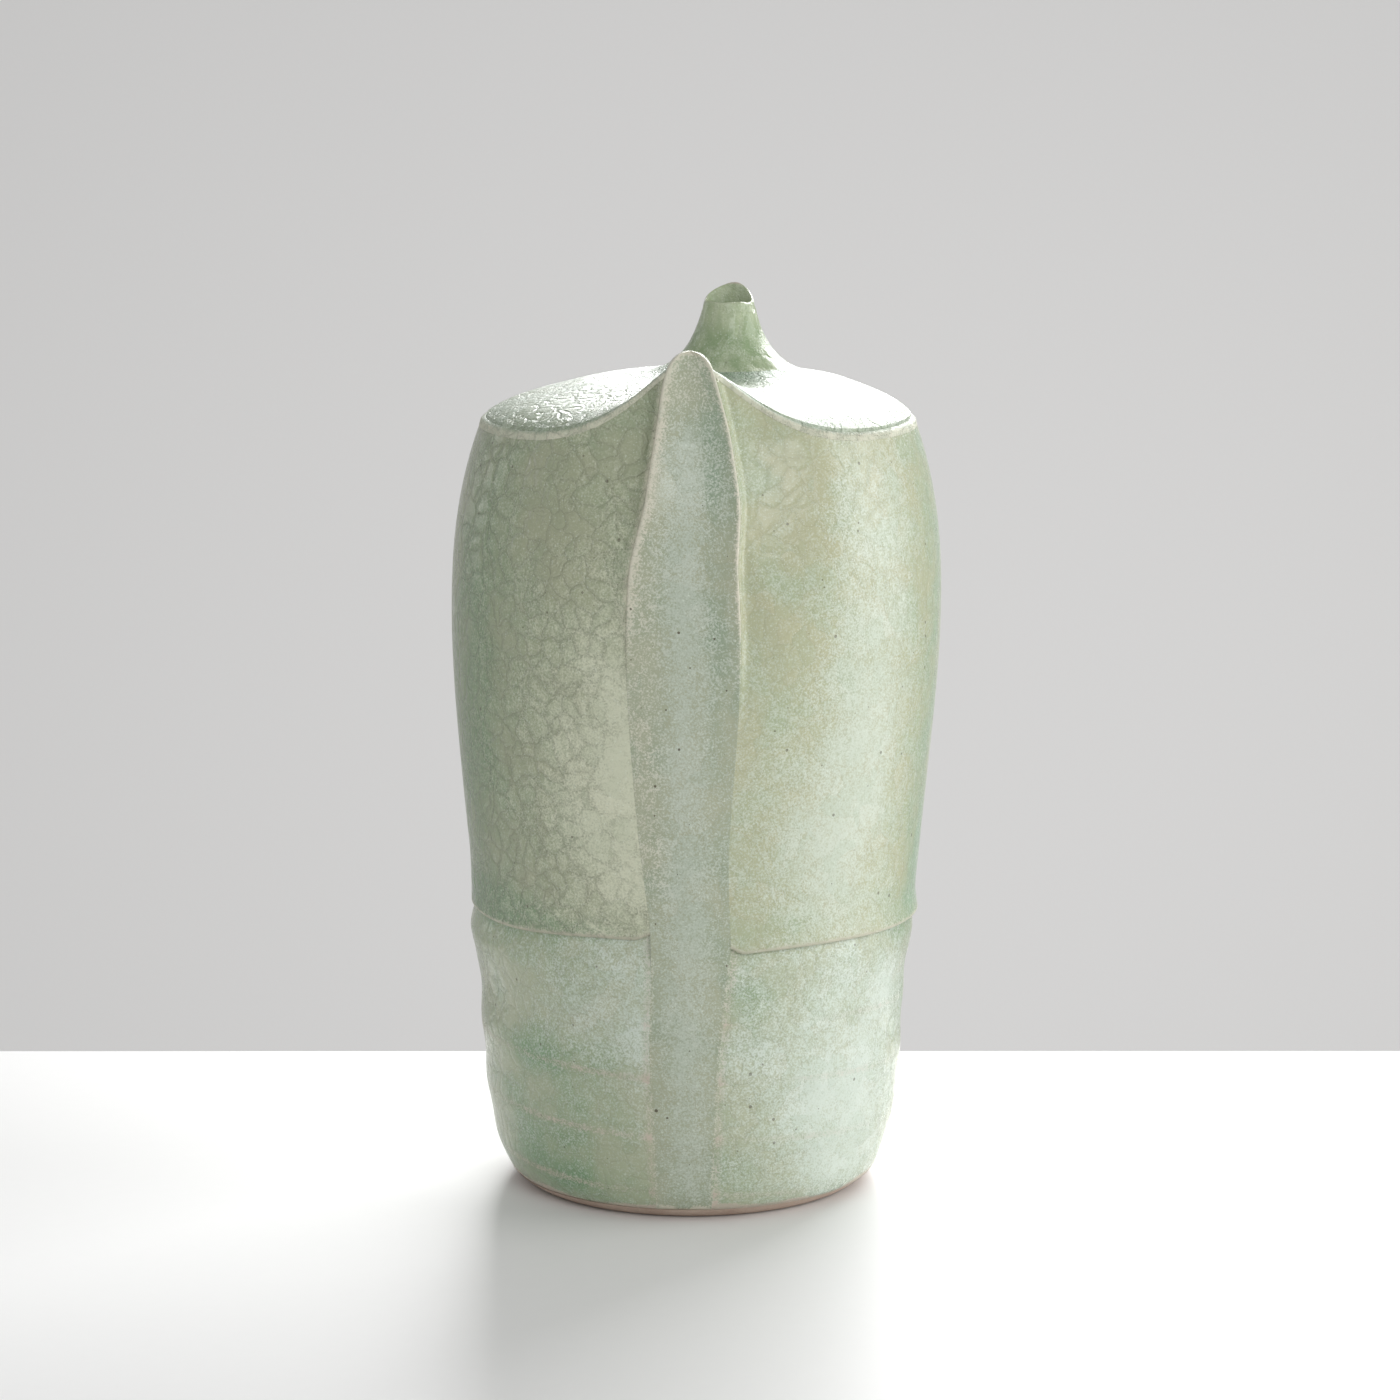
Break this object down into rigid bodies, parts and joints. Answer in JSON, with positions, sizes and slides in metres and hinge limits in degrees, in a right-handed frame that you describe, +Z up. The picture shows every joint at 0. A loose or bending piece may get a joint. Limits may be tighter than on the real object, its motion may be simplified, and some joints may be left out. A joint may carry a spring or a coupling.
{
  "type": "sake bottle",
  "caption": "Hand-built cylindrical stoneware sake bottle with a ledge, a front strip ending in a tongue, and a small flared neck with an oblique mouth.",
  "frame": {"origin": "middle of the underside, on the surface that the bottle stands on", "axes": "+Z up along the bottle, -Y the front with its strip and tongue, +X to the right of the front"},
  "size_m": [0.0934, 0.0931, 0.1732],
  "materials": {
    "celadon_glaze": "glossy grey-green crackled celadon glaze over stoneware",
    "milky_glaze": "glossy pale green glaze with a milky bloom, over stoneware",
    "blue_glaze": "glossy thick blue-grey speckled glaze over stoneware",
    "bare_clay": "matt bare pinkish-beige fired stoneware"
  },
  "bodies": {
    "root": {"base_slab": "bare_clay", "lower_wall": "celadon_glaze", "left_panel": "celadon_glaze", "right_panel": "milky_glaze", "front_strip": "blue_glaze", "top_slab": "milky_glaze", "neck": "celadon_glaze"}
  },
  "joints": []
}
